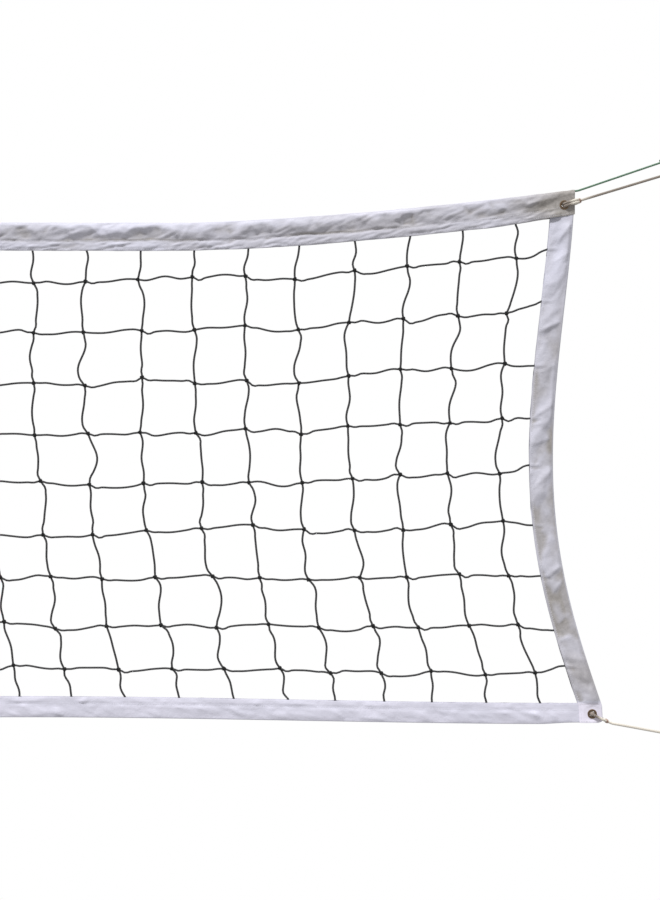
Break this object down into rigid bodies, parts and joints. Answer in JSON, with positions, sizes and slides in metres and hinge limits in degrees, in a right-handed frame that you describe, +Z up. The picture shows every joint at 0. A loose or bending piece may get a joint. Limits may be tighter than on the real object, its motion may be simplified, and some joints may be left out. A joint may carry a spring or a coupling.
{
  "type": "volleyball net",
  "caption": "Volleyball net of black knotted twine edged with white tape, with a coated head cable, brass eyelets and rope ties that swing.",
  "frame": {"origin": "centre of the right cable eye, where the net's head cable hooks to a post", "axes": "+X runs along the net to its right end, +Z is up, and +Y points away from the viewer, square to the net"},
  "size_m": [10.0694, 0.0202, 1.1417],
  "materials": {
    "white_tape": "woven polyester tape, matte, puckered along its seams",
    "black_twine": "twisted polyethylene twine, dull black",
    "green_cable": "green plastic coat over wire",
    "aluminium_sleeve": "pressed, dull",
    "old_brass": "darkened",
    "cream_rope": "twisted cotton rope"
  },
  "bodies": {
    "net": {"headband_tape": "white_tape", "footband_tape": "white_tape", "right_side_tape": "white_tape", "left_side_tape": "white_tape", "netting": "black_twine", "head_cable": "green_cable", "right_cable_tail": "green_cable", "left_cable_tail": "green_cable", "right_cable_ferrule": "aluminium_sleeve", "left_cable_ferrule": "aluminium_sleeve", "right_top_eyelet": "old_brass", "right_bottom_eyelet": "old_brass", "left_top_eyelet": "old_brass", "left_bottom_eyelet": "old_brass", "right_top_washer": "old_brass", "right_bottom_washer": "old_brass", "left_top_washer": "old_brass", "left_bottom_washer": "old_brass"},
    "right_top_rope_body": {"right_top_tie": "cream_rope", "right_top_rope": "cream_rope", "right_top_end_knot": "cream_rope"},
    "right_bottom_rope_body": {"right_bottom_tie": "cream_rope", "right_bottom_rope": "cream_rope", "right_bottom_end_knot": "cream_rope"},
    "left_top_rope_body": {"left_top_tie": "cream_rope", "left_top_rope": "cream_rope", "left_top_end_knot": "cream_rope"},
    "left_bottom_rope_body": {"left_bottom_tie": "cream_rope", "left_bottom_rope": "cream_rope", "left_bottom_end_knot": "cream_rope"}
  },
  "joints": [
    {"name": "right_top_tie_swing", "type": "hinge", "parent": "net", "child": "right_top_rope_body", "pos_m": [-0.22849, 0, -0.09853], "axis": [0, 1, 0], "range_deg": [-2, 42]},
    {"name": "right_bottom_tie_swing", "type": "hinge", "parent": "net", "child": "right_bottom_rope_body", "pos_m": [-0.17555, 0, -1.06404], "axis": [0, 1, 0], "range_deg": [-60, 90]},
    {"name": "left_top_tie_swing", "type": "hinge", "parent": "net", "child": "left_top_rope_body", "pos_m": [-9.68849, 0, -0.09853], "axis": [0, -1, 0], "range_deg": [-2, 42]},
    {"name": "left_bottom_tie_swing", "type": "hinge", "parent": "net", "child": "left_bottom_rope_body", "pos_m": [-9.74142, 0, -1.06404], "axis": [0, -1, 0], "range_deg": [-60, 90]}
  ]
}
